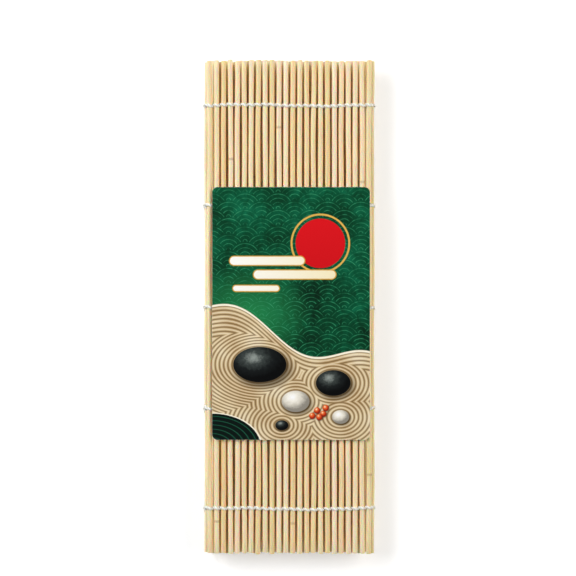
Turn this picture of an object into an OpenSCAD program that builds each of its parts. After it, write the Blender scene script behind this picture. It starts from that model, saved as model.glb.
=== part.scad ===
// Bamboo rolling mat, folded in three as a letter Z, with a printed card lying on it.
// The mat lies on its bottom panel: X runs across the slats, Y along them, and Z is up.
// The origin is on the table, under the middle of the folded mat.
// Counted along the twine, the slats run from the free edge of the bottom panel at the right,
// through the left fold, the middle panel and the right fold, to the free edge of the top
// panel at the left. Each twine wrap sits a little to one side of its row, and its two
// neighbours sit to the other side, so wraps pass beside each other as the mat bends.

/* [Slats] */
// Length of a slat
slat_length = 270; // [240:5:300]
// Diameter of a slat
slat_diameter = 2.8; // [2.2:0.1:2.8]
// Distance from one slat to the next
slat_pitch = 3.78; // [3.78:0.02:4]
// Chamfer where a slat was cut to length
slat_chamfer = 0.25; // [0.1:0.05:0.5]

/* [Panels] */
// Slats in the bottom panel, which the mat lies on
bottom_count = 22; // [16:1:23]
// Slats in the top panel, which the card covers
top_count = 24; // [20:1:24]
// Rise from one layer of slats to the next
layer_rise = 4.65; // [4.65:0.05:5.2]

/* [Twine] */
// Thickness of the cotton twine
twine_diameter = 0.85; // [0.6:0.05:0.85]
// Rows of twine along the slats
row_count = 5; // [3:1:5]
// Distance from one row of twine to the next
row_spacing = 55; // [40:1:55]
// Diameter of the knot that ends each row
knot_diameter = 1.8; // [1.2:0.1:2]
// How far the weight of the mat presses the lowest wraps flat
rest_flat = 0.15; // [0.1:0.05:0.2]

/* [Card] */
// Width of the card, across the slats
card_width = 86; // [60:1:88]
// Length of the card, along the slats
card_length = 137.7; // [100:0.1:150]
// Thickness of the card
card_thickness = 0.35; // [0.25:0.05:0.5]
// Radius of the corners of the card
card_corner = 3; // [1:0.5:6]
// Offset of the middle of the card from the middle of the mat, across the slats
card_offset_x = 0.9; // [-1:0.1:1]
// Offset of the middle of the card from the middle of the mat, along the slats
card_offset_y = -3.5; // [-10:0.1:10]

/* [Hidden] */
// Room between a wrap and its slat, between two wraps, and under the card
wrap_clearance = 0.025;
wrap_gap = 0.1;
card_gap = 0.05;
curve_steps = 48;

slat_radius = slat_diameter / 2;
wrap_radius = slat_radius + wrap_clearance + twine_diameter / 2;
wrap_reach = wrap_radius + twine_diameter / 2;
wrap_shift = (twine_diameter + wrap_gap) / 2;

// The section of a wrap is an octagon, and a crossing bar meets only its flat sides.
section_sides = 8;
section_turn = 180 / section_sides;
bar_width = 0.28 * twine_diameter;
bar_height = 0.45 * twine_diameter;
knot_chamfer = 0.25 * knot_diameter;

// The middle panel has one slat fewer than the top one, so its slats lie under the gaps.
middle_count = top_count - 1;
top_half = (top_count - 1) / 2 * slat_pitch;
middle_half = (middle_count - 1) / 2 * slat_pitch;

// The first slat of each stretch, counted along the twine
left_fold = bottom_count;
middle_first = left_fold + 1;
right_fold = middle_first + middle_count;
top_first = right_fold + 1;
slat_total = top_first + top_count;

// The two links of a fold climb one layer together and end half a pitch apart.
fold_lean = atan2(slat_pitch / 2, layer_rise);
fold_mean = asin(slat_pitch / 4 / (slat_pitch * sin(fold_lean)));
steep_link = fold_mean + fold_lean;
shallow_link = fold_mean - fold_lean;

bottom_z = wrap_reach - rest_flat;
middle_z = bottom_z + layer_rise;
top_z = middle_z + layer_rise;
card_z = top_z + wrap_reach + card_gap;

function slat_x(n) =
    n < left_fold ? (bottom_count - 1 - n) * slat_pitch - top_half :
    n == left_fold ? -top_half - slat_pitch * cos(steep_link) :
    n < right_fold ? (n - middle_first) * slat_pitch - middle_half :
    n == right_fold ? top_half + slat_pitch * cos(steep_link) :
    top_half - (n - top_first) * slat_pitch;

function slat_z(n) =
    n < left_fold ? bottom_z :
    n == left_fold ? bottom_z + slat_pitch * sin(steep_link) :
    n < right_fold ? middle_z :
    n == right_fold ? middle_z + slat_pitch * sin(shallow_link) :
    top_z;

function row_y(row) = (row - (row_count - 1) / 2) * row_spacing;
function wrap_side(n) = n % 2 == 0 ? wrap_shift : -wrap_shift;
function numbered(name, i) = str(name, i < 9 ? "_0" : "_", i + 1);

module at_slat(n) {
    translate([slat_x(n), 0, slat_z(n)]) children();
}

// One round slat of bamboo with both cut ends chamfered
module slat(n) {
    end = slat_length / 2;
    at_slat(n)
        rotate([90, 0, 0])
        rotate_extrude($fn = curve_steps)
        polygon([
            [0, -end], [slat_radius - slat_chamfer, -end], [slat_radius, slat_chamfer - end],
            [slat_radius, end - slat_chamfer], [slat_radius - slat_chamfer, end], [0, end]
        ]);
}

// The twine's wrap round one slat, in one row
module wrap(n, row) {
    at_slat(n)
        translate([0, row_y(row) + wrap_side(n), 0])
        rotate([90, 0, 0])
        rotate_extrude($fn = curve_steps)
        translate([wrap_radius, 0])
        rotate(section_turn)
        circle(d = twine_diameter / cos(section_turn), $fn = section_sides);
}

// The crossing of the twine in the gap between slat n and the next one of a flat panel
module crossing(n, row) {
    translate([(slat_x(n) + slat_x(n + 1)) / 2, row_y(row), slat_z(n)])
        cube([bar_width, 2 * wrap_shift, bar_height], center = true);
}

// The knot that ends a row, pulled tight beside the last slat on the side that way points to
module knot(n, row, way) {
    end = knot_diameter / 2;
    at_slat(n)
        translate([way * (wrap_reach + knot_diameter / 4), row_y(row) + wrap_side(n), 0])
        rotate([90, 0, 0])
        rotate_extrude($fn = curve_steps)
        polygon([
            [0, -end], [end - knot_chamfer, -end], [end, knot_chamfer - end],
            [end, end - knot_chamfer], [end - knot_chamfer, end], [0, end]
        ]);
}

// One row of twine over the slats from first to last, which never move against each other
module panel_row(first, last, row) {
    for (n = [first : last]) wrap(n, row);
    for (n = [first : last - 1]) crossing(n, row);
}

module bottom_slats() {
    color("wheat") for (n = [0 : left_fold - 1]) slat(n);
}

module bottom_twine() {
    below = 2 * wrap_reach;
    color("ghostwhite") for (row = [0 : row_count - 1])
        difference() {
            union() {
                panel_row(0, left_fold - 1, row);
                knot(0, row, 1);
            }
            translate([-2 * top_half, row_y(row) - below, -below])
                cube([4 * top_half, 2 * below, below]);
        }
}

module middle_slats() {
    color("burlywood") for (n = [middle_first + 1 : right_fold - 1]) slat(n);
}

module middle_twine() {
    color("ghostwhite") for (row = [0 : row_count - 1])
        panel_row(middle_first + 1, right_fold - 1, row);
}

module single_slat(n) {
    color("wheat") slat(n);
}

module single_twine(n) {
    color("ghostwhite") for (row = [0 : row_count - 1])
        union() {
            wrap(n, row);
            if (n == slat_total - 1) knot(n, row, -1);
        }
}

// The card, with round corners
module label_card() {
    corner_x = card_width / 2 - card_corner;
    corner_y = card_length / 2 - card_corner;
    color("darkolivegreen")
        translate([card_offset_x, card_offset_y, card_z])
        union() {
            translate([-card_width / 2, -corner_y, 0])
                cube([card_width, 2 * corner_y, card_thickness]);
            translate([-corner_x, -card_length / 2, 0])
                cube([2 * corner_x, card_length, card_thickness]);
            for (x = [-corner_x, corner_x], y = [-corner_y, corner_y])
                translate([x, y, 0])
                    cylinder(h = card_thickness, r = card_corner, $fn = curve_steps);
        }
}

bottom_slats();
bottom_twine();
single_slat(left_fold);  // left_fold_slat
single_twine(left_fold);  // left_fold_twine
single_slat(middle_first);  // middle_lead_slat
single_twine(middle_first);  // middle_lead_twine
middle_slats();
middle_twine();
single_slat(right_fold);  // right_fold_slat
single_twine(right_fold);  // right_fold_twine
label_card();
for (i = [0 : top_count - 1]) {
    single_slat(top_first + i);
    single_twine(top_first + i);
}
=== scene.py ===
# %% [markdown]
# # A bamboo rolling mat, folded in three
# This lesson dresses a working model of a sushi rolling mat. The construction is already
# there: 71 round slats, the twine that binds them, and the hinges where the mat bends.
# Here each piece gets the shape and the finish of the real thing.
# Everything is in metres, and every size comes from the frame or from a named value.

# %% Load the frame
import math
import random
from collections import namedtuple

import bpy
import numpy as np
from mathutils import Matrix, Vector


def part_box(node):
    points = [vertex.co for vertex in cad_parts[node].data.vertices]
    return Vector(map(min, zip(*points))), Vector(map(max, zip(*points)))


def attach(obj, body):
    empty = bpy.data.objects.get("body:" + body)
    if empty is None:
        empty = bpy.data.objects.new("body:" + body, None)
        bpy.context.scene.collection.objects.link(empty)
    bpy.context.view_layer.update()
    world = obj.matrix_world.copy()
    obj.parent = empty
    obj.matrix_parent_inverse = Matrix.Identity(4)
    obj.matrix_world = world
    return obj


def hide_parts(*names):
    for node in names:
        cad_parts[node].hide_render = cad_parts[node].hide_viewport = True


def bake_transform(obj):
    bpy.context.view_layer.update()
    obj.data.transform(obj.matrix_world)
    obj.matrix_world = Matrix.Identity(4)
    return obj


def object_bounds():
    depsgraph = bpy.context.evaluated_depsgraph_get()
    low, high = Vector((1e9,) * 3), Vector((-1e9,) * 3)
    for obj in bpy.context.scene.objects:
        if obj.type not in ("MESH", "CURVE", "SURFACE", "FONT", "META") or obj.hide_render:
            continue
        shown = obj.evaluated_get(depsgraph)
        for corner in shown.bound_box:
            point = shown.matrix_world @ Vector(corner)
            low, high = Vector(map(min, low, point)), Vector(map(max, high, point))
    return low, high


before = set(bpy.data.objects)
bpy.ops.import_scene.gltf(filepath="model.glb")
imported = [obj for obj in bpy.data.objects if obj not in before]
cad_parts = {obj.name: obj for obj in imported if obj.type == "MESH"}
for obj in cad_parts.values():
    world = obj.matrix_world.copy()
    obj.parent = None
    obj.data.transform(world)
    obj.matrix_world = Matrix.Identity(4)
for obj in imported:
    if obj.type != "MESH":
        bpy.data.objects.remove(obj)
cad_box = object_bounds()
MM = 0.001

# %% [markdown]
# ## Where the slats lie
# The twine runs through the mat like a chain: over the bottom panel from right to left,
# round the left fold, back over the middle panel, round the right fold, and over the top
# panel to its free edge at the left. Every slat has a place in that chain, and so has every
# link, which is the stretch from one slat's middle line to the next one's.
# The places are read off the frame, so the looks can't drift away from the construction.

# %% The chain of slats
PANEL_SLATS = 22
TOP_SLATS = 24
Place = namedtuple("Place", "body slat twine middle")


def middle_line(node):
    """The point where a single slat's middle line crosses the plane y = 0."""
    low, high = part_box(node)
    return Vector(((low[0] + high[0]) / 2, 0, (low[2] + high[2]) / 2))


def panel_lines(node, count):
    """The same points for a flat panel's slats, from left to right."""
    low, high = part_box(node)
    radius = (high[2] - low[2]) / 2
    across = np.linspace(low[0] + radius, high[0] - radius, count)
    return [Vector((x, 0, low[2] + radius)) for x in across]


chain = [Place("bottom_panel", "bottom_slats", "bottom_twine", at)
         for at in reversed(panel_lines("bottom_slats", PANEL_SLATS))]
for body in ("left_fold", "middle_lead"):
    chain.append(Place(body, body + "_slat", body + "_twine", middle_line(body + "_slat")))
chain += [Place("middle_panel", "middle_slats", "middle_twine", at)
          for at in panel_lines("middle_slats", PANEL_SLATS)]
chain.append(Place("right_fold", "right_fold_slat", "right_fold_twine",
                   middle_line("right_fold_slat")))
for i in range(1, TOP_SLATS + 1):
    slat_node = f"top_slat_{i:02d}"
    chain.append(Place(f"top_{i:02d}", slat_node, f"top_twine_{i:02d}", middle_line(slat_node)))

slat_low, slat_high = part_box("top_slat_01")
SLAT_RADIUS = (slat_high[2] - slat_low[2]) / 2
SLAT_LENGTH = slat_high[1] - slat_low[1]
PITCH = (chain[1].middle - chain[0].middle).length
print(f"{len(chain)} slats, {SLAT_LENGTH / MM:.0f} mm long, {2 * SLAT_RADIUS / MM:.2f} mm thick,",
      f"{PITCH / MM:.2f} mm apart")

# %% [markdown]
# ## Small helpers
# Operators act on whatever is selected, so each one is called after a helper has cleared
# the selection and picked what it should work on. Vertices, edges and faces are picked by
# a rule about their place, which says in words what a hand would click.

# %% Selection and mesh helpers


def select_only(obj):
    """Makes obj the one selected and active object."""
    bpy.ops.object.select_all(action="DESELECT")
    obj.select_set(True)
    bpy.context.view_layer.objects.active = obj


def pick(obj, kind, rule):
    """Selects the vertices, edges or faces of obj that the rule accepts."""
    bpy.ops.object.mode_set(mode="EDIT")
    bpy.ops.mesh.select_mode(type={"vertices": "VERT", "edges": "EDGE", "polygons": "FACE"}[kind])
    bpy.ops.mesh.select_all(action="DESELECT")
    bpy.ops.object.mode_set(mode="OBJECT")
    for item in getattr(obj.data, kind):
        item.select = bool(rule(item))
    bpy.ops.object.mode_set(mode="EDIT")


def finish_edit():
    """Leaves edit mode."""
    bpy.ops.object.mode_set(mode="OBJECT")


def positions(mesh):
    """The vertices of a mesh as an array."""
    flat = np.empty(len(mesh.vertices) * 3)
    mesh.vertices.foreach_get("co", flat)
    return flat.reshape(-1, 3)


def mark(mesh, name, values):
    """Stores one number on each vertex, for a material to read."""
    layer = mesh.attributes.new(name, "FLOAT", "POINT")
    layer.data.foreach_set("value", np.broadcast_to(values, len(mesh.vertices)).astype(np.float32))


# %% [markdown]
# ## How materials are written
# Colours are chosen as sRGB hex values, as a paint chart gives them, and one function turns
# them to the linear values that Blender mixes. Another adds a node of any kind with its
# settings, and fills its inputs, in their order or by name. Where it is given a node instead
# of a number, it links that node's output, so a pattern reads as one step after another.
# In order, Map Range takes its value, the two ends it comes from and the two it goes to, and
# Mix takes a share and its two colours.

# %% Material helpers


def linear(hex_colour):
    """A hex colour such as #e8d3a2 as linear red, green, blue and alpha."""
    parts = [int(hex_colour[i:i + 2], 16) / 255 for i in (1, 3, 5)]
    return [c / 12.92 if c <= 0.04045 else ((c + 0.055) / 1.055) ** 2.4 for c in parts] + [1.0]


def add(tree, kind, *values, stops=(), **settings):
    """Adds a node, sets it, and fills its inputs in order, or by name from a dictionary.

    A value is a number, a hex colour, a socket, or a node that stands for its first output.
    A colour ramp also takes its stops, as places and hex colours.
    """
    new = tree.nodes.new("ShaderNode" + kind)
    for name, value in settings.items():
        setattr(new, name, value)
    for i, (place, colour) in enumerate(stops):
        if i == len(new.color_ramp.elements):
            new.color_ramp.elements.new(1.0)
        new.color_ramp.elements[i].position = place
        new.color_ramp.elements[i].color = linear(colour)
    if values and isinstance(values[0], dict):
        filled = [(new.inputs[name], value) for name, value in values[0].items()]
    else:
        filled = zip([socket for socket in new.inputs if socket.enabled], values)
    for socket, value in filled:
        if isinstance(value, bpy.types.Node):
            value = next(output for output in value.outputs if output.enabled)
        if isinstance(value, bpy.types.NodeSocket):
            tree.links.new(value, socket)
        else:
            socket.default_value = linear(value) if isinstance(value, str) else value
    return new


def new_material(name):
    """An empty material and its node tree."""
    material = bpy.data.materials.new(name)
    material.use_nodes = True
    material.node_tree.nodes.clear()
    return material, material.node_tree


# %% [markdown]
# ## Raw bamboo
# The slats are split from a bamboo stem, pulled through a round die and left raw. To the
# eye that gives a pale straw colour which differs from slat to slat, fine streaks along the
# grain where the fibre bundles were cut, a dull satin gloss, and on some slats the darker
# ring of a joint in the stem.
# One solid texture makes both faces of the grain: noise that is stretched along the slat
# shows as streaks on its side and as dots on its cut end, as real fibre bundles do.
# What differs from slat to slat, its tone, its hue and its joint, is read from numbers on
# the slat itself. Light goes a little way into bamboo before it comes out, red the deepest,
# which is the shader's subsurface part.
# Where slats stand close together, the light in the gap has bounced from bamboo to bamboo
# many times, and turns a warm brown. A render follows only a few of those bounces, so the
# flanks that face a neighbour get that warm brown as painted shade, to make up for the rest.

# %% Bamboo
FIBRE = 0.28 * MM
FIBRE_LENGTH = 40 * MM
CLOUD = 2 * MM
CLOUD_LENGTH = 36 * MM
# Where a pattern starts and is full, how strong it is at most, and its tone
STREAKS = ((0.5, 0.72), 0.34, "#b98a4e")
PALE_STREAKS = ((0.42, 0.25), 0.30, "#fbf1d6")
JOINT_RING = ((1.0 * MM, 0.3 * MM), 0.42, "#a87c45")


def bamboo(name, tones, gloss_low, gloss_high):
    """Raw bamboo in the given colours, from the palest slat to the darkest."""
    material, tree = new_material(name)
    tone, hue, joint, flank = [
        add(tree, "Attribute", attribute_name="slat_" + told).outputs["Fac"]
        for told in ("tone", "hue", "joint", "flank")]
    place = add(tree, "TexCoord").outputs["Object"]
    along = add(tree, "Mapping", {"Vector": place,
                                  "Scale": (1 / FIBRE, 1 / FIBRE_LENGTH, 1 / FIBRE)})
    fibres = add(tree, "TexNoise", {"Vector": along, "Scale": 1.0, "Detail": 3.0,
                                    "Roughness": 0.62})
    drift = add(tree, "Mapping", {"Vector": place,
                                  "Scale": (1 / CLOUD, 1 / CLOUD_LENGTH, 1 / CLOUD)})
    clouds = add(tree, "TexNoise", {"Vector": drift, "Scale": 1.0, "Detail": 1.0})
    shifted = add(tree, "Math", clouds, 0.55,
                  add(tree, "Math", tone, 0.27, operation="SUBTRACT"), operation="MULTIPLY_ADD")
    toned = add(tree, "Mix", 1.0, add(tree, "ValToRGB", shifted, stops=tones),
                add(tree, "ValToRGB", hue, stops=HUES), data_type="RGBA", blend_type="MULTIPLY")
    # Painted shade: flanks that face a neighbour take the warm brown of light bounced in the gaps.
    colour = add(tree, "Mix", flank, toned, GAP_SHADE_TONE, data_type="RGBA")
    down_slat = add(tree, "SeparateXYZ", place).outputs["Y"]
    off_joint = add(tree, "Math", add(tree, "Math", down_slat, joint, operation="SUBTRACT"),
                    operation="ABSOLUTE")
    for pattern, (limits, most, tint) in ((fibres, STREAKS), (fibres, PALE_STREAKS),
                                          (off_joint, JOINT_RING)):
        share = add(tree, "Math", add(tree, "MapRange", pattern, *limits), most,
                    operation="MULTIPLY")
        colour = add(tree, "Mix", share, colour, tint, data_type="RGBA")
    gloss = add(tree, "MapRange", fibres, 0.0, 1.0, gloss_low, gloss_high)
    relief = add(tree, "Bump", {"Height": fibres, "Strength": 0.5, "Distance": 0.05 * MM})
    add(tree, "OutputMaterial", add(tree, "BsdfPrincipled", {
        "Base Color": colour, "Roughness": gloss, "Normal": relief,
        "Specular IOR Level": 0.25, "Subsurface Weight": 0.6,
        "Subsurface Radius": (1.0, 0.30, 0.08), "Subsurface Scale": GLOW_DEPTH}))
    return material


BAMBOO_TONES = ((0.0, "#f4edda"), (0.25, "#f2e8cb"), (0.5, "#efe2bc"), (0.75, "#ebdaaa"),
                (1.0, "#e4cb94"))
HUES = ((0.0, "#fafaf0"), (0.35, "#fdfdf6"), (0.65, "#fffdfa"), (1.0, "#fff8f2"))
END_TONES = ((0.0, "#f0e0bc"), (0.5, "#e6cfa2"), (1.0, "#d6b585"))
# The tone of the painted shade on flanks that face a neighbour
GAP_SHADE_TONE = "#fb9c30"
GLOW_DEPTH = 1.2 * MM
slat_side = bamboo("split bamboo, die rounded, raw", BAMBOO_TONES, 0.42, 0.62)
slat_end = bamboo("bamboo end grain, sawn", END_TONES, 0.70, 0.90)
print("bamboo: fibres", round(FIBRE / MM, 2), "mm wide")

# %% [markdown]
# ## The slats
# One slat is modelled by hand and then copied. It starts as a cylinder, is cut into short
# lengths so that it can bend, has its sawn rims broken by a small bevel, and has the middle
# of each end let in a little, where the saw tears out the softer pith.
# No two bamboo slats are alike, so each copy is shaped again: a little thinner or flatter,
# bowed a few tenths of a millimetre between the rows of twine, and sawn a shade short.
# The bow is a sine that is zero at every row, because there the twine holds the slat.

# %% Model one slat
SLAT_SIDES = 16
SLAT_CUTS = 35
RIM = 0.22 * MM
ROW_SPACING = 55 * MM

bpy.ops.object.select_all(action="DESELECT")
bpy.ops.mesh.primitive_cylinder_add(vertices=SLAT_SIDES, radius=SLAT_RADIUS, calc_uvs=False,
                                    depth=SLAT_LENGTH, rotation=(math.pi / 2, 0, 0))
slat_model = bpy.context.object
slat_model.name = "slat_model"
bpy.ops.object.transform_apply(location=False, rotation=True, scale=True)


def at_end(mesh, vertex):
    """Whether a vertex lies in one of the two sawn ends."""
    return abs(abs(mesh.vertices[vertex].co.y) - SLAT_LENGTH / 2) < 1e-6


def crosses(edge):
    """Whether an edge runs from one end of the slat to the other."""
    ends = [slat_model.data.vertices[v].co.y for v in edge.vertices]
    return abs(ends[0] - ends[1]) > SLAT_LENGTH / 2


pick(slat_model, "edges", crosses)
bpy.ops.mesh.subdivide(number_cuts=SLAT_CUTS)
pick(slat_model, "edges", lambda e: all(at_end(slat_model.data, v) for v in e.vertices))
bpy.ops.mesh.bevel(offset=RIM, segments=2)
pick(slat_model, "polygons", lambda f: abs(f.normal.y) > 0.99)
bpy.ops.mesh.inset(thickness=0.3 * SLAT_RADIUS, depth=0)
bpy.ops.mesh.inset(thickness=0.15 * SLAT_RADIUS, depth=-0.05 * MM)
finish_edit()
slat_model.data.materials.append(slat_side)
slat_model.data.materials.append(slat_end)
for face in slat_model.data.polygons:
    face.material_index = int(abs(face.normal.y) > 0.9)
select_only(slat_model)
bpy.ops.object.shade_smooth_by_angle(angle=math.radians(40))
print("slat:", len(slat_model.data.polygons), "faces")

# %% Copy and shape the slats
# Shares of the radius, by which a slat is thinner, oval, faceted, wavy, or swells at a joint
THINNEST, OVAL, FACETED, WAVY, JOINT_SWELL = 0.98, 0.012, 0.006, 0.010, 0.022
JOINT_LENGTH = 3 * MM
WITH_JOINT = 0.45
TONE_MIDDLE, TONE_SPREAD = 0.45, 0.19
BOW = 0.24 * MM
SHORTEST = 0.9 * MM
# Painted gap shade: where it starts, as a share of the radius towards a neighbour, and its share
# at most
GAP_SHADE_FROM = 0.75
GAP_SHADE_SHARE = 0.75
STRAIGHT_ON = -0.99
chance = random.Random(71)


def neighbour_ways(number):
    """The ways from a slat to the slat before it, and to the next unless the mat folds here."""
    middle = chain[number].middle
    ways = [(chain[i].middle - middle).normalized() for i in (number - 1, number + 1)
            if 0 <= i < len(chain)]
    return ways if len(ways) < 2 or ways[0].dot(ways[1]) < STRAIGHT_ON else ways[:1]


def painted_gap_shade(number, x, z, at_tip):
    """How much painted gap shade each vertex takes: most where it faces a neighbour, none at the
    tips.
    """
    facing = np.max([(x * way.x + z * way.z) / SLAT_RADIUS for way in neighbour_ways(number)],
                    axis=0)
    flank = np.clip((facing - GAP_SHADE_FROM) / (1 - GAP_SHADE_FROM), 0, 1)
    return np.where(at_tip, 0, GAP_SHADE_SHARE * flank ** 2)


def shape_slat(mesh, number):
    """Gives one copy of the slat its own section, bow, length, tone, hue and joint."""
    spots = positions(mesh)
    x, y, z = spots.T
    turn = np.arctan2(z, x)
    flat_side = chance.uniform(0, math.pi)
    joint = chance.uniform(-0.46, 0.46) * SLAT_LENGTH if chance.random() < WITH_JOINT else 1.0
    swell = (chance.uniform(THINNEST, 1.0)
             + OVAL * np.cos(2 * (turn - flat_side))
             + FACETED * np.cos(5 * turn + 40 * y)
             + WAVY * np.sin(y / SLAT_LENGTH * math.tau + chance.uniform(0, math.tau))
             + JOINT_SWELL * np.exp(-((y - joint) / JOINT_LENGTH) ** 2))
    swell = np.minimum(swell, 1.0)
    rows = math.pi * y / ROW_SPACING
    bow_x = chance.uniform(-BOW, BOW) * np.sin(rows) + chance.gauss(0, BOW / 4) * np.sin(2 * rows)
    bow_z = chance.uniform(-BOW, BOW) / 2 * np.sin(rows)
    trims = [chance.uniform(0, SHORTEST) for _ in range(2)]
    shorter = np.where(y > 0, trims[0], trims[1]) / (SLAT_LENGTH / 2)
    slant = chance.uniform(0, 0.04)
    at_tip = np.abs(y) > SLAT_LENGTH / 2 - 2 * RIM
    y_new = y * (1 - shorter) - np.where(at_tip, np.sign(y) * slant * (SLAT_RADIUS - x), 0)
    mesh.vertices.foreach_set("co", np.column_stack(
        (x * swell + bow_x, y_new, z * swell + bow_z)).ravel())
    mark(mesh, "slat_tone", min(1.0, max(0.0, chance.gauss(TONE_MIDDLE, TONE_SPREAD))))
    mark(mesh, "slat_hue", chance.random())
    mark(mesh, "slat_joint", joint)
    mark(mesh, "slat_flank", painted_gap_shade(number, x, z, at_tip))


def make_slat(number):
    """One finished slat at its place in the chain."""
    body, node, middle = chain[number].body, chain[number].slat, chain[number].middle
    mesh = slat_model.data.copy()
    shape_slat(mesh, number)
    name = node if node not in ("bottom_slats", "middle_slats") else f"{node[:-1]}_{number:02d}"
    slat = bpy.data.objects.new("bamboo_" + name, mesh)
    bpy.context.collection.objects.link(slat)
    spots = positions(mesh) + np.array(middle)
    mesh.vertices.foreach_set("co", spots.ravel())
    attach(slat, body)
    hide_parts(node)
    return slat


slats = [make_slat(number) for number in range(len(chain))]
bpy.data.objects.remove(slat_model)
print(len(slats), "slats, each with its own mesh")

# %% [markdown]
# ## Cotton twine
# The twine is two plies of unbleached cotton twisted together. That gives a soft matt
# white, a groove that winds along the twine, and a fuzz of short fibres that catches light
# at the edges. The groove is real shape here, and it is darkened a little, because light
# has trouble getting out of it. Finer than the groove is only the fuzz, which is drawn by
# fine bumps and by the shader's sheen. The bumps lie on the twine's own map, which counts
# turns one way and millimetres the other.

# %% Cotton
FUZZ_HEIGHT = 0.055 * MM
# Bumps in a turn round the twine and in a millimetre along it
FUZZ_A_TURN = 9.0
FUZZ_A_MM = 26.0
GROOVE_FROM = 0.35
GROOVE_SHARE = 0.50


def cotton():
    """Plied cotton twine, unbleached."""
    material, tree = new_material("plied cotton twine, unbleached")
    stretched = add(tree, "Mapping", {"Vector": add(tree, "UVMap", uv_map="along"),
                                      "Rotation": (0, 0, 0.5),
                                      "Scale": (FUZZ_A_TURN, FUZZ_A_MM, 1.0)})
    fuzz = add(tree, "TexNoise", {"Vector": stretched, "Scale": 1.0, "Detail": 3.0,
                                  "Roughness": 0.7})
    groove = add(tree, "Attribute", attribute_name="groove").outputs["Fac"]
    darkened = add(tree, "MapRange", groove, GROOVE_FROM, 1.0, 0.0, GROOVE_SHARE)
    clean = add(tree, "Mix", fuzz, "#fffffa", "#e9eae1", data_type="RGBA")
    shaded = add(tree, "Mix", darkened, clean, "#b0ab9d", data_type="RGBA")
    relief = add(tree, "Bump", {"Height": fuzz, "Strength": 0.6, "Distance": FUZZ_HEIGHT})
    add(tree, "OutputMaterial", add(tree, "BsdfPrincipled", {
        "Base Color": shaded, "Normal": relief, "Roughness": 0.92, "Sheen Weight": 0.35,
        "Sheen Roughness": 0.5}))
    return material


twine_finish = cotton()
print("cotton:", len(twine_finish.node_tree.nodes), "nodes")

# %% [markdown]
# ## How the twine runs
# Two strands bind each row. One passes over a slat while the other passes under it, and in
# the gap they change places side by side, so that together they are twisted once for every
# two slats. Pulled tight, a strand follows each slat round as an arc and crosses the gap
# on the straight line that touches both arcs.
# The twine is built a link at a time, from the top of one slat to the top of the next,
# because each link moves with one body. Neighbouring links meet on the slat that is their
# hinge, and each runs on a little inside the other, so no gap opens when the mat bends.
# This shape has to be exact, so it is a tube swept along a formula and not a primitive.

# %% Sweep a strand
STRAND = 0.425 * MM
PRESSED_WIDER = 0.85
PRESSED_LOWER = 0.14
BESIDE = 0.52 * MM
GROOVE_DEPTH = 0.12
SECTION = 8
RINGS = 15
HALF_TURNS = 3
SLOW_DRIFT, QUICK_DRIFT = 0.40, 0.16
ARC = SLAT_RADIUS + STRAND
TANGENT = math.sqrt((PITCH / 2) ** 2 - ARC ** 2)
ARC_END = math.acos(ARC / (PITCH / 2))
ARC_RUN = ARC * (math.pi / 2 - ARC_END)
LINK_RUN = 2 * (ARC_RUN + TANGENT)
ROWS = [(row - 2) * ROW_SPACING for row in range(5)]


def strand_place(run):
    """Along and above the link for a run of twine that starts on top of the first slat."""
    if run < ARC_RUN:
        return ARC * math.sin(run / ARC), ARC * math.cos(run / ARC)
    if run > LINK_RUN - ARC_RUN:
        left = (LINK_RUN - run) / ARC
        return PITCH - ARC * math.sin(left), -ARC * math.cos(left)
    share = (run - ARC_RUN) / (2 * TANGENT)
    first, last = strand_place(ARC_RUN - 1e-9), strand_place(LINK_RUN - ARC_RUN + 1e-9)
    return tuple(a + (b - a) * share for a, b in zip(first, last))


def row_drift(row, place):
    """How far a row wanders from its straight line, at a place counted in slats."""
    slow = math.sin(0.31 * place + 1.7 * row)
    quick = math.sin(1.1 * place + 2.3 * row)
    return (SLOW_DRIFT * slow + QUICK_DRIFT * quick) * MM


def sweep(path, thickness, plies, pressed=None):
    """A closed tube along a path, with the groove of twisted plies winding round it.

    Where it is pressed, by a share from 0 to 1, it is wider and lower than it is round.
    """
    path = [Vector(p) for p in path]
    verts, faces, grooves, lengths = [], [], [], []
    run = 0.0
    for i, spot in enumerate(path):
        before, after = path[max(i - 1, 0)], path[min(i + 1, len(path) - 1)]
        forward = (after - before).normalized()
        side = Vector((0, 1, 0))
        side = (side - side.dot(forward) * forward).normalized()
        up = side.cross(forward)
        run += (spot - path[i - 1]).length if i else 0.0
        for k in range(SECTION):
            angle = math.tau * k / SECTION
            lobe = math.cos(2 * (angle - plies[i]))
            reach = thickness[i] * (1 + GROOVE_DEPTH * lobe)
            share = pressed[i] if pressed else 0.0
            verts.append(spot
                         + reach * (1 - PRESSED_LOWER * share) * math.cos(angle) * up
                         + reach * (1 + PRESSED_WIDER * share) * math.sin(angle) * side)
            grooves.append(0.5 - 0.5 * lobe)
            lengths.append(run)
    for i in range(len(path) - 1):
        for k in range(SECTION):
            a, b = i * SECTION + k, i * SECTION + (k + 1) % SECTION
            faces.append((a, b, b + SECTION, a + SECTION))
    faces.append(tuple(range(SECTION))[::-1])
    faces.append(tuple(range(len(verts) - SECTION, len(verts))))
    return verts, faces, grooves, lengths


print(f"each link holds {2 * LINK_RUN / MM:.1f} mm of twine in a row,",
      f"which turns {HALF_TURNS / 2} times on itself")

# %% [markdown]
# ## Where the mat is folded
# At rest the chain turns sharply at the folds. On the outside of such a turn the two links
# draw apart, so each runs on by half the turn to meet the other. On the inside they are
# pressed together, and there they end at the middle of the slat. Where the mat lies flat,
# and where it can roll, a few degrees are enough.
# The outermost slats have no further link, so there the twine goes right round to its knot.

# %% Build the links
FLAT_LAP = math.radians(9)
FOLD_LAP = math.radians(3)
TO_KNOT = math.radians(82)
LAP_THICKNESS = 0.94
ARC_STEP = 0.25
UNEVEN = 0.05


def heading(number):
    """The direction of a link, from slat number - 1 to slat number, as an angle."""
    step = chain[number].middle - chain[number - 1].middle
    return math.atan2(step.z, step.x)


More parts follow.
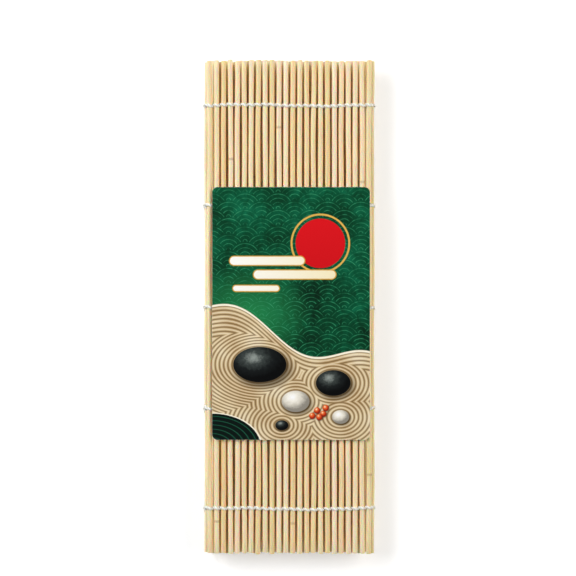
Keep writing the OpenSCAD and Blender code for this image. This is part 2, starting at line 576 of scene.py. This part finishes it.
def laps(number):
    """How far twine must run on past the middle of a slat, above and below the chain."""
    if number in (0, len(chain) - 1):
        return TO_KNOT, TO_KNOT
    turn = math.remainder(heading(number + 1) - heading(number), math.tau)
    if abs(turn) < 0.01:
        return FLAT_LAP, FLAT_LAP
    outside = abs(turn) / 2 + FOLD_LAP
    return (FOLD_LAP, outside) if turn > 0 else (outside, FOLD_LAP)


def link_strand(number, row, over_first):
    """One strand of one link: over the first slat and under the second, or the other way."""
    flip = 1 if over_first else -1
    lead = laps(number - 1)[0 if over_first else 1]
    trail = laps(number)[1 if over_first else 0]
    runs = np.concatenate(([-lead * ARC] if lead <= FLAT_LAP else
                           np.arange(-lead, -FLAT_LAP, ARC_STEP) * ARC,
                           np.linspace(0, LINK_RUN, RINGS),
                           [LINK_RUN + trail * ARC] if trail <= FLAT_LAP else
                           LINK_RUN + np.arange(trail, FLAT_LAP, -ARC_STEP)[::-1] * ARC))
    first = chain[number - 1].middle
    angle = heading(number)
    path, thickness, plies, pressed = [], [], [], []
    for run in runs:
        along, above = strand_place(run)
        across = -BESIDE * math.sin(math.pi * run / LINK_RUN)
        spot = Vector((along, flip * across, flip * above))
        place = number - 1 + run / LINK_RUN
        path.append((first.x + spot.x * math.cos(angle) - spot.z * math.sin(angle),
                     spot.y + ROWS[row] + row_drift(row, place),
                     first.z + spot.x * math.sin(angle) + spot.z * math.cos(angle)))
        swell = 1 + UNEVEN * math.sin(2.1 * place + 1.3 * row)
        lapped = run < -1e-6 or run > LINK_RUN + 1e-6
        thickness.append(STRAND * swell * (LAP_THICKNESS if lapped else 1))
        plies.append(HALF_TURNS * math.pi * run / LINK_RUN)
        pressed.append(math.cos(math.pi * min(max(run / LINK_RUN, 0), 1)) ** 2)
    return sweep(path, thickness, plies, pressed)


# %% [markdown]
# ## Knots
# Each row starts and ends in a knot beside the outermost slat. It is drawn as the simplest
# real knot, a trefoil, pulled up small, with one short cut tail. The formula of the trefoil
# winds twice round while it crosses itself three times.

# %% Tie the knots
KNOT = 0.27 * MM
KNOT_OUT = 0.45 * MM
TAIL = 2.4 * MM
KNOT_RINGS = 36


def knot_parts(number, row, outwards):
    """The knot and its tail, beside slat number on the side that outwards points to."""
    middle = chain[number].middle
    heart = Vector((middle.x + outwards * (ARC + STRAND + KNOT_OUT),
                    ROWS[row] + row_drift(row, number), middle.z))
    loop = []
    for i in range(KNOT_RINGS + 1):
        t = math.tau * i / KNOT_RINGS
        loop.append(heart + KNOT * Vector((math.cos(t) - 2 * math.cos(2 * t),
                                           math.sin(t) + 2 * math.sin(2 * t),
                                           -math.sin(3 * t))))
    steps = [i / 8 for i in range(9)]
    sag = [heart + Vector((outwards * 0.3 * MM * math.sin(2.5 * s), -TAIL * s,
                           -0.5 * MM * s * s)) for s in steps]
    plied = [math.pi * i / 3 for i in range(len(loop))]
    return [sweep(loop, [0.8 * STRAND] * len(loop), plied),
            sweep(sag, [0.85 * STRAND * (1 - 0.25 * s) for s in steps], plied)]


# %% Join each body's twine
def twine_object(name, parts, body, node):
    """One mesh from swept parts, with its groove and its length stored for the material."""
    verts, faces, grooves, lengths = [], [], [], []
    for part_verts, part_faces, part_grooves, part_lengths in parts:
        start = len(verts)
        verts += part_verts
        faces += [tuple(start + v for v in face) for face in part_faces]
        grooves += part_grooves
        lengths += part_lengths
    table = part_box(node)[0][2] if node == "bottom_twine" else -1.0
    verts = [(v[0], v[1], max(v[2], table)) for v in verts]
    mesh = bpy.data.meshes.new(name)
    mesh.from_pydata(verts, [], faces)
    mark(mesh, "groove", np.array(grooves))
    layer = mesh.uv_layers.new(name="along")
    for face in mesh.polygons:
        turns = [(mesh.loops[i].vertex_index % SECTION) / SECTION for i in face.loop_indices]
        wraps_round = max(turns) - min(turns) > 0.5 and len(turns) == 4
        for i, turn in zip(face.loop_indices, turns):
            vertex = mesh.loops[i].vertex_index
            layer.data[i].uv = (turn + (1 if wraps_round and turn < 0.5 else 0),
                                lengths[vertex] / MM)
    mesh.materials.append(twine_finish)
    mesh.shade_smooth()
    twine = bpy.data.objects.new(name, mesh)
    bpy.context.collection.objects.link(twine)
    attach(twine, body)
    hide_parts(node)
    return twine


last = len(chain) - 1
body_parts = {}
for number in range(1, len(chain)):
    parts = body_parts.setdefault(chain[number].twine, (chain[number].body, []))[1]
    for row in range(len(ROWS)):
        parts += [link_strand(number, row, over_first) for over_first in (True, False)]
for row in range(len(ROWS)):
    body_parts["bottom_twine"][1].extend(knot_parts(0, row, 1))
    body_parts[chain[last].twine][1].extend(knot_parts(last, row, -1))
twines = [twine_object("cotton_" + node, parts, body, node)
          for node, (body, parts) in body_parts.items()]
print(len(twines), "pieces of twine,", sum(len(t.data.polygons) for t in twines), "faces")

# %% [markdown]
# ## The printed card
# The card is thin white board with a matt varnish over its print. The print is a shader
# pattern in the card's own millimetres: a deep green ground with rows of fine wave scales,
# a red sun with a gold ring, cream bars of mist, a bank of raked sand with dark and pale
# stones and a few orange berries, and a dark pond in the corner.
# Every shape in it is a signed distance, the distance to its outline, negative inside, so
# one small step turns it to a mask with a clean edge at any size of render.

# %% Print
PRINT_EDGE = 0.12


def board():
    """White board, as it shows at the card's cut edge and back."""
    material, tree = new_material("white paperboard")
    place = add(tree, "TexCoord").outputs["Object"]
    pulp = add(tree, "TexNoise", {"Vector": place, "Scale": 0.8 / MM, "Detail": 4.0})
    paper = add(tree, "Mix", pulp, "#f4f2ec", "#dedad0", data_type="RGBA")
    add(tree, "OutputMaterial", add(tree, "BsdfPrincipled", {"Base Color": paper,
                                                             "Roughness": 0.85}))
    return material


def print_over(tree, ground, distance, ink):
    """The ground with an ink or a picture on it, wherever a signed distance is negative."""
    mask = add(tree, "MapRange", distance, PRINT_EDGE, -PRINT_EDGE)
    return add(tree, "Mix", mask, ground, ink, data_type="RGBA")


def band(tree, value, half_width):
    """A signed distance to the band within half_width of where a value is zero."""
    return add(tree, "Math", add(tree, "Math", value, operation="ABSOLUTE"), half_width,
               operation="SUBTRACT")


def hypotenuse(tree, across, up):
    """The distance that two offsets at right angles make."""
    squares = [add(tree, "Math", side, side, operation="MULTIPLY") for side in (across, up)]
    return add(tree, "Math", add(tree, "Math", *squares, operation="ADD"), operation="SQRT")


def ripples(tree, distance, apart):
    """Waves between -1 and 1 that follow an outline, so far apart."""
    return add(tree, "Math", add(tree, "Math", distance, math.tau / apart, operation="MULTIPLY"),
               operation="SINE")


def circle_distance(tree, u, v, middle, radius, squeeze=1.0):
    """The signed distance to a circle, or to an oval that is squeezed upright."""
    across = add(tree, "Math", u, middle[0], operation="SUBTRACT")
    up = add(tree, "Math", add(tree, "Math", v, middle[1], operation="SUBTRACT"), squeeze,
             operation="MULTIPLY")
    return add(tree, "Math", hypotenuse(tree, across, up), radius, operation="SUBTRACT")


def bar_distance(tree, u, v, middle, half_length, radius):
    """The signed distance to a level bar with round ends."""
    across = add(tree, "Math", u, middle[0], operation="SUBTRACT")
    past = add(tree, "Math", band(tree, across, half_length), 0.0, operation="MAXIMUM")
    up = add(tree, "Math", v, middle[1], operation="SUBTRACT")
    return add(tree, "Math", hypotenuse(tree, past, up), radius, operation="SUBTRACT")


def wave_scales(tree, u, v):
    """Lines of overlapping scales, an old pattern of waves: the nearest scale in front wins."""
    lines = 0.0
    below = add(tree, "Math", v, SCALE_RADIUS, operation="SUBTRACT")
    first = add(tree, "Math", add(tree, "Math", below, SCALE_RISE, operation="DIVIDE"),
                operation="CEIL")
    for later in (2, 1, 0):
        row = add(tree, "Math", first, float(later), operation="ADD")
        odd = add(tree, "Math", add(tree, "Math", row, 64.0, operation="ADD"), 2.0,
                  operation="MODULO")
        shift = add(tree, "Math", odd, SCALE_RADIUS, operation="MULTIPLY")
        across = add(tree, "Math", add(tree, "Math", u, shift, operation="ADD"),
                     SCALE_RADIUS, -SCALE_RADIUS, operation="WRAP")
        up = add(tree, "Math", v, add(tree, "Math", row, SCALE_RISE, operation="MULTIPLY"),
                 operation="SUBTRACT")
        far = hypotenuse(tree, across, up)
        step = add(tree, "Math", far, SCALE_RADIUS / 4, operation="MODULO")
        off_line = add(tree, "Math", add(tree, "Math", step, SCALE_RADIUS / 8,
                                         operation="SUBTRACT"), operation="ABSOLUTE")
        line = add(tree, "Math", off_line, SCALE_LINE, operation="LESS_THAN")
        within = add(tree, "Math", far, SCALE_RADIUS, operation="LESS_THAN")
        outside = add(tree, "Math", 1.0, within, operation="SUBTRACT")
        kept = add(tree, "Math", lines, outside, operation="MULTIPLY")
        lines = add(tree, "Math", add(tree, "Math", line, within, operation="MULTIPLY"), kept,
                    operation="ADD")
    return lines


# %% Compose the card's design
# Places and sizes are in millimetres from the card's lower left corner: a stone has its
# middle, half its width, how far it is squeezed, and its tones, and a bar of mist has its
# middle, half its length between its round ends, and their radius.
CARD_LOW, CARD_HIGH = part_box("label_card")
CARD_WIDTH = (CARD_HIGH[0] - CARD_LOW[0]) / MM
CARD_LENGTH = (CARD_HIGH[1] - CARD_LOW[1]) / MM
SUN, SUN_RADIUS = (59.0, 107.0), 13.5
MIST = ((30.0, 97.5, 18.0, 2.5), (45.0, 90.0, 20.0, 2.5), (24.0, 82.5, 11.0, 1.7))
POND = ((0.0, -4.0), 27.0, 1.45)
DARK_ROCK = ((0.1, "#020304"), (0.45, "#15191a"), (0.75, "#3d4442"), (1.0, "#8d9590"))
PALE_ROCK = ((0.1, "#8f8a80"), (0.45, "#d8d2c4"), (0.75, "#f5f1e6"), (1.0, "#ffffff"))
BERRY = ((0.1, "#8f2110"), (0.45, "#dd4a22"), (0.75, "#f07d3c"), (1.0, "#ffe2b8"))
STONES = ((26.0, 41.0, 14.5, 1.5, DARK_ROCK), (66.0, 31.0, 9.5, 1.35, DARK_ROCK),
          (45.5, 21.0, 7.5, 1.3, PALE_ROCK), (38.0, 8.0, 3.6, 1.3, DARK_ROCK),
          (70.0, 12.5, 4.6, 1.25, PALE_ROCK))
BERRIES = ((57.2, 16.0), (60.6, 14.2), (58.4, 12.4), (61.9, 17.4), (54.6, 13.1))
BERRY_RADIUS = 1.75
FURROW = 2.3
POND_RIPPLE = 3.4
SCALE_RADIUS, SCALE_RISE, SCALE_LINE = 9.0, 4.5, 0.16
GREENS = ((0.30, "#002413"), (0.46, "#003c23"), (0.60, "#004f32"), (0.78, "#0a6a48"))
SANDS = ((0.35, "#c9ab7c"), (0.55, "#e6d0a4"), (0.7, "#f3e4c2"))
CREAM = "#fbf3dd"


def shaded_oval(tree, u, v, colour, place, size, squeeze, tones, cloud):
    """A printed stone or berry: lit from above, with a soft shadow on the ground under it."""
    x, y = place
    off = circle_distance(tree, u, v, place, size, squeeze)
    shade = circle_distance(tree, u, v, (x + 0.12 * size, y - 0.16 * size), size, squeeze)
    under = add(tree, "MapRange", shade, 0.28 * size, -0.1 * size, 0.0, 0.75)
    lit = circle_distance(tree, u, v, (x - 0.25 * size, y + 0.38 * size / squeeze), 0.0, squeeze)
    dimmed = add(tree, "Math", lit, 0.85 / size, operation="MULTIPLY")
    bright = add(tree, "Math", 1.05, dimmed, operation="SUBTRACT")
    mottled = add(tree, "Math", cloud, 0.5, -0.25, operation="MULTIPLY_ADD")
    tone = add(tree, "Math", bright, mottled, operation="ADD")
    colour = add(tree, "Mix", under, colour, "#2e2110", data_type="RGBA")
    return print_over(tree, colour, off, add(tree, "ValToRGB", tone, stops=tones))


def green_ground(tree, u, v, flat, cloud):
    """Deep green, clouded, with a glow over the bank and rows of wave scales."""
    fleck = add(tree, "TexNoise", {"Vector": flat, "Scale": 0.22, "Detail": 5.0,
                                   "Roughness": 0.65, "Distortion": 0.6})
    upwards = add(tree, "Math", v, 0.0011, -0.22, operation="MULTIPLY_ADD")
    flecked = add(tree, "Math", fleck, 0.55, upwards, operation="MULTIPLY_ADD")
    depth = add(tree, "Math", cloud, 0.75, flecked, operation="MULTIPLY_ADD")
    colour = add(tree, "ValToRGB", depth, stops=GREENS)
    glow = circle_distance(tree, u, v, (20.0, 68.0), 0.0, 1.2)
    glowing = add(tree, "MapRange", glow, 34.0, 4.0, 0.0, 0.8)
    colour = add(tree, "Mix", glowing, colour, "#22854a", data_type="RGBA")
    fading = add(tree, "MapRange", fleck, 0.40, 0.62, 0.10, 0.75)
    drawn = add(tree, "Math", wave_scales(tree, u, v), fading, operation="MULTIPLY")
    return add(tree, "Mix", drawn, colour, "#3a9b6c", data_type="RGBA")


def raked_sand(tree, flat, nearest, shore):
    """Sand that is raked round the stones and along its shore."""
    inland = add(tree, "Math", shore, -1.0, operation="MULTIPLY")
    raked = ripples(tree, add(tree, "Math", nearest, inland, operation="MINIMUM"), FURROW)
    grit = add(tree, "TexNoise", {"Vector": flat, "Scale": 2.4, "Detail": 3.0})
    broad = add(tree, "TexNoise", {"Vector": flat, "Scale": 0.06, "Detail": 1.0})
    sand = add(tree, "ValToRGB", broad, stops=SANDS)
    gritty = add(tree, "Math", grit, 0.55, operation="MULTIPLY")
    low = add(tree, "MapRange", raked, 0.0, 0.9, 0.0, 0.78)
    high = add(tree, "MapRange", raked, -0.45, -1.0, 0.0, 0.45)
    for share, tint in ((gritty, "#b08f5e"), (low, "#6d5230"), (high, "#fff6dd")):
        sand = add(tree, "Mix", share, sand, tint, data_type="RGBA")
    return sand


def printed():
    """The card's print under a matt varnish."""
    material, tree = new_material("offset print on board, matt varnish")
    spot = add(tree, "SeparateXYZ", add(tree, "UVMap", uv_map="card")).outputs
    u = add(tree, "Math", spot["X"], CARD_WIDTH, operation="MULTIPLY")
    v = add(tree, "Math", spot["Y"], CARD_LENGTH, operation="MULTIPLY")
    flat = add(tree, "CombineXYZ", u, v)
    cloud = add(tree, "TexNoise", {"Vector": flat, "Scale": 0.045, "Detail": 2.0})

    swing = add(tree, "Math", add(tree, "Math", u, 0.085, 0.4, operation="MULTIPLY_ADD"),
                operation="SINE")
    slope = add(tree, "Math", u, -0.34, 70.0, operation="MULTIPLY_ADD")
    bank = add(tree, "Math", swing, 7.0, slope, operation="MULTIPLY_ADD")
    shore = add(tree, "Math", v, bank, operation="SUBTRACT")
    nearest = 90.0
    for x, y, size, squeeze, _ in STONES:
        off = circle_distance(tree, u, v, (x, y), size, squeeze)
        nearest = add(tree, "Math", nearest, off, operation="MINIMUM")
    colour = print_over(tree, green_ground(tree, u, v, flat, cloud), shore,
                        raked_sand(tree, flat, nearest, shore))
    colour = print_over(tree, colour, band(tree, shore, 0.55), CREAM)

    pond = circle_distance(tree, u, v, *POND)
    rippled = add(tree, "MapRange", ripples(tree, pond, POND_RIPPLE), 0.75, 1.0, 0.0, 0.35)
    water = add(tree, "Mix", rippled, "#03130f", "#2f8a66", data_type="RGBA")
    colour = print_over(tree, colour, pond, water)
    colour = print_over(tree, colour, band(tree, pond, 0.4), CREAM)

    rock = add(tree, "TexNoise", {"Vector": flat, "Scale": 0.5, "Detail": 5.0,
                                  "Roughness": 0.7})
    for x, y, size, squeeze, tones in STONES:
        colour = shaded_oval(tree, u, v, colour, (x, y), size, squeeze, tones, rock)
    for place in BERRIES:
        colour = shaded_oval(tree, u, v, colour, place, BERRY_RADIUS, 1.0, BERRY, rock)

    sun = circle_distance(tree, u, v, SUN, SUN_RADIUS)
    height = add(tree, "Math", v, CARD_LENGTH, operation="DIVIDE")
    red = add(tree, "Mix", height, "#a30008", "#e0121c", data_type="RGBA")
    colour = print_over(tree, colour, sun, red)
    off_ring = add(tree, "Math", sun, 2.2, operation="SUBTRACT")
    colour = print_over(tree, colour, band(tree, off_ring, 0.5), "#e0b252")
    across = add(tree, "Math", u, CARD_WIDTH, operation="DIVIDE")
    pale = add(tree, "Mix", across, "#ffffff", "#f3e2a6", data_type="RGBA")
    for x, y, half, radius in MIST:
        bar = bar_distance(tree, u, v, (x, y), half, radius)
        colour = print_over(tree, colour, bar, pale)
        colour = print_over(tree, colour, band(tree, bar, 0.28), "#d2a040")
    add(tree, "OutputMaterial", add(tree, "BsdfPrincipled", {
        "Base Color": colour, "Roughness": 0.55, "Specular IOR Level": 0.10}))
    return material


print_finish, board_finish = printed(), board()
print(f"card: {CARD_WIDTH:.1f} by {CARD_LENGTH:.1f} mm")

# %% [markdown]
# ## Cut the card into strips
# The card lies over the part of the mat that rolls up, so it has to bend at every slat.
# So the card is made of strips, one over each slat, each reaching from the middle of the link
# before the slat to the middle of the link after it and cut across a few more times between.
# The end pieces move with the slats under them. The strips share their edges, their thickness
# and one print, so the eye sees one sheet.
# The whole card is modelled first: a plane with its corners rounded by a vertex bevel,
# extruded to its thickness, with its cut edge broken. Then it is bisected.

# %% Model the whole card
CORNER = 3 * MM
bpy.ops.object.select_all(action="DESELECT")
bpy.ops.mesh.primitive_plane_add(size=1, calc_uvs=False, location=(
    (CARD_LOW[0] + CARD_HIGH[0]) / 2, (CARD_LOW[1] + CARD_HIGH[1]) / 2, CARD_LOW[2]))
card_model = bpy.context.object
card_model.name = "card_model"
card_model.scale = (CARD_WIDTH * MM, CARD_LENGTH * MM, 1)
bpy.ops.object.transform_apply(location=True, rotation=True, scale=True)
pick(card_model, "vertices", lambda v: True)
bpy.ops.mesh.bevel(offset=CORNER, segments=8, affect="VERTICES")
bpy.ops.mesh.select_all(action="SELECT")
bpy.ops.mesh.extrude_region_move(
    TRANSFORM_OT_translate={"value": (0, 0, CARD_HIGH[2] - CARD_LOW[2])})
bpy.ops.mesh.select_all(action="SELECT")
bpy.ops.mesh.normals_make_consistent(inside=False)
card_top = CARD_HIGH[2]
pick(card_model, "edges", lambda e: all(
    abs(card_model.data.vertices[v].co.z - card_top) < 1e-6 for v in e.vertices))
bpy.ops.mesh.bevel(offset=0.06 * MM, segments=1)
finish_edit()
card_model.data.materials.append(print_finish)
card_model.data.materials.append(board_finish)
for face in card_model.data.polygons:
    face.material_index = 0 if face.normal.z > 0.9 else 1
print("card model:", len(card_model.data.polygons), "faces")

# %% Bisect into strips
BENDS = 4


def cut(x, clear=None):
    """Cuts the object in edit mode across X, and clears one side where it is told to."""
    bpy.ops.mesh.select_all(action="SELECT")
    bpy.ops.mesh.bisect(plane_co=(x, 0, 0), plane_no=(1, 0, 0), use_fill=clear is not None,
                        clear_inner=clear == "left", clear_outer=clear == "right")


def card_strip(name, right, left, bends):
    """The part of the card between two places, ready to bend between them."""
    strip = card_model.copy()
    strip.data = card_model.data.copy()
    strip.name = name
    bpy.context.collection.objects.link(strip)
    select_only(strip)
    bpy.ops.object.mode_set(mode="EDIT")
    if right < CARD_HIGH[0]:
        cut(right, "right")
    if left > CARD_LOW[0]:
        cut(left, "left")
    for i in range(1, bends):
        cut(left + (right - left) * i / bends)
    finish_edit()
    mesh = strip.data
    for face in mesh.polygons:
        if abs(face.normal.x) > 0.99:
            face.material_index = 1
    layer = mesh.uv_layers.new(name="card")
    for loop in mesh.loops:
        spot = mesh.vertices[loop.vertex_index].co
        layer.data[loop.index].uv = ((spot.x - CARD_LOW[0]) / (CARD_HIGH[0] - CARD_LOW[0]),
                                     (spot.y - CARD_LOW[1]) / (CARD_HIGH[1] - CARD_LOW[1]))
    bpy.ops.object.shade_smooth_by_angle(angle=math.radians(35))
    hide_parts("label_card")
    return strip


top_first = len(chain) - TOP_SLATS
edge_right = chain[top_first + 1].middle.x + PITCH / 2
right_end = card_strip("card_right_end", CARD_HIGH[0], edge_right, 1)
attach(right_end, "top_02")
for number in range(top_first + 1, len(chain) - 1):
    middle = chain[number].middle.x
    right, left = middle + PITCH / 2, middle - PITCH / 2
    strip = card_strip(f"card_strip_{number - top_first:02d}", right, left, BENDS)
    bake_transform(strip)
left_end = card_strip("card_left_end", chain[-1].middle.x + PITCH / 2, CARD_LOW[0], 1)
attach(left_end, f"top_{TOP_SLATS}")
bpy.data.objects.remove(card_model)
print("card cut into", TOP_SLATS, "strips")

# %% [markdown]
# ## Table, light and camera
# The mat is seen from straight above on white. Two broad lamps shine in at a slant from the
# left and the right, so that they light the round sides of the slats and reach into the
# gaps. The left one is the stronger, which gives each slat its pale left side. A weak one in
# front keeps the sawn ends from going dark, and a faint sky fills the rest.
# The floor shows white to the camera and still takes the mat's shadow, because beside the
# mat only a third of its brightness is its own. Right under the mat, where it shows through
# gaps alone, it has hardly any of its own, a painted shade that is fixed to where the mat
# lies at rest and fades out at its edges. Far away, where the lamps don't reach, it is as
# bright as the backdrop, which only the camera and reflections see.

# %% Floor
FLOOR_SIZE = 12.0
FLOOR_DROP = 0.05 * MM
# The floor's own light, as a share: it grows from near the mat to far away, in metres, and
# it drops under the mat, a painted shade, whose edge is a share of its half width and length.
NEAR, FAR = 0.25, 1.1
OWN_LIGHT_NEAR = 0.35
OWN_LIGHT_IN_PAINTED_SHADE = 0.08
MAT_EDGE = 0.90


def seen_rays(tree):
    """1 for a ray that shows a surface to the camera, directly, in gloss or through glass."""
    path = add(tree, "LightPath").outputs
    outer = add(tree, "Math", path["Is Camera Ray"], path["Is Glossy Ray"], operation="ADD")
    return add(tree, "Math", outer, path["Is Transmission Ray"], operation="ADD",
               use_clamp=True)


bpy.ops.object.select_all(action="DESELECT")
bpy.ops.mesh.primitive_plane_add(size=FLOOR_SIZE, location=(0, 0, -FLOOR_DROP))
floor = bpy.context.object
floor.name = "floor"
floor_paint, tree = new_material("white table")
place = add(tree, "TexCoord").outputs["Object"]
far = add(tree, "VectorMath", place, operation="LENGTH")
beside = add(tree, "MapRange", far, NEAR, FAR, OWN_LIGHT_NEAR)
spot = add(tree, "SeparateXYZ", place).outputs
# Painted shade: the floor's own light drops where the mat lies at rest.
edge = [add(tree, "Math", add(tree, "Math", spot[axis], operation="ABSOLUTE"), half,
            operation="DIVIDE") for axis, half in zip("XY", cad_box[1])]
under = add(tree, "MapRange", add(tree, "Math", *edge, operation="MAXIMUM"),
            MAT_EDGE, 1.0, OWN_LIGHT_IN_PAINTED_SHADE)
own_light = add(tree, "Math", beside, under, operation="MULTIPLY")
glow = add(tree, "Emission", {
    "Strength": add(tree, "Math", seen_rays(tree), own_light, operation="MULTIPLY")})
matt = add(tree, "BsdfPrincipled", {"Base Color": "#f4f4f4", "Roughness": 0.9})
add(tree, "OutputMaterial", add(tree, "AddShader", matt, glow))
floor.data.materials.append(floor_paint)
print(f"floor: {FLOOR_SIZE:.0f} m square")

# %% Light
# Each lamp has its name, its place and its two sides in metres, its watts and its tint.
# The sky is read by how far up a ray points, from 1 straight up to 0 level.
LIGHTS = (("window_light", (-1.03, 0.50, 0.80), (1.4, 0.5), 19.2, "#fbfdff"),
          ("fill_light", (1.09, 0.30, 0.78), (1.4, 0.5), 13.0, "#fffaf2"),
          ("front_light", (0.0, -1.50, 0.22), (1.2, 0.3), 3.0, "#fff6ea"))
for name, place, (width, height), power, tint in LIGHTS:
    bpy.ops.object.light_add(type="AREA", location=place)
    light = bpy.context.object
    light.name = name
    light.data.shape = "RECTANGLE"
    light.data.size = width
    light.data.size_y = height
    light.data.energy = power
    light.data.color = linear(tint)[:3]
    light.rotation_euler = (-light.location).to_track_quat("-Z", "Y").to_euler()
world = bpy.data.worlds.new("studio")
bpy.context.scene.world = world
world.use_nodes = True
sky = world.node_tree
sky.nodes.clear()
towards = add(sky, "TexCoord").outputs["Generated"]
upwards = add(sky, "SeparateXYZ", towards).outputs["Z"]
low_sky = add(sky, "MapRange", upwards, 0.95, 0.35, 0.16, 0.22)
backdrop = add(sky, "MapRange", upwards, 0.80, 0.10, 0.08, 1.0)
seen = seen_rays(sky)
unseen = add(sky, "Math", 1.0, seen, operation="SUBTRACT")
shown = add(sky, "Math", add(sky, "Math", backdrop, seen, operation="MULTIPLY"),
            add(sky, "Math", low_sky, unseen, operation="MULTIPLY"), operation="ADD")
add(sky, "OutputWorld", add(sky, "Background", {
    "Color": add(sky, "Mix", seen, "#f7f9ff", "#ffffff", data_type="RGBA"),
    "Strength": shown}))
print(len(LIGHTS), "lamps and a faint sky")

# %% Camera
# The size of one pixel at the mat, the width of the picture, and where the mat's middle is
# in it. A long lens stands in for a camera far above.
PHOTO_SCALE = 0.5444 * MM
PHOTO_WIDTH = 576
MAT_MIDDLE = (289.35, 307.0)
LENS = 120.0
SENSOR = 36.0
away = PHOTO_WIDTH * PHOTO_SCALE * LENS / SENSOR
bpy.ops.object.camera_add(location=(
    (PHOTO_WIDTH / 2 - MAT_MIDDLE[0]) * PHOTO_SCALE,
    (MAT_MIDDLE[1] - PHOTO_WIDTH / 2) * PHOTO_SCALE,
    away + CARD_HIGH[2]), rotation=(0, 0, 0))
camera = bpy.context.object
camera.data.lens = LENS
camera.data.sensor_width = SENSOR
camera.data.clip_end = 10
bpy.context.scene.camera = camera
bpy.context.scene.view_settings.view_transform = "Standard"
print(f"camera {camera.location.z:.3f} m above the table")
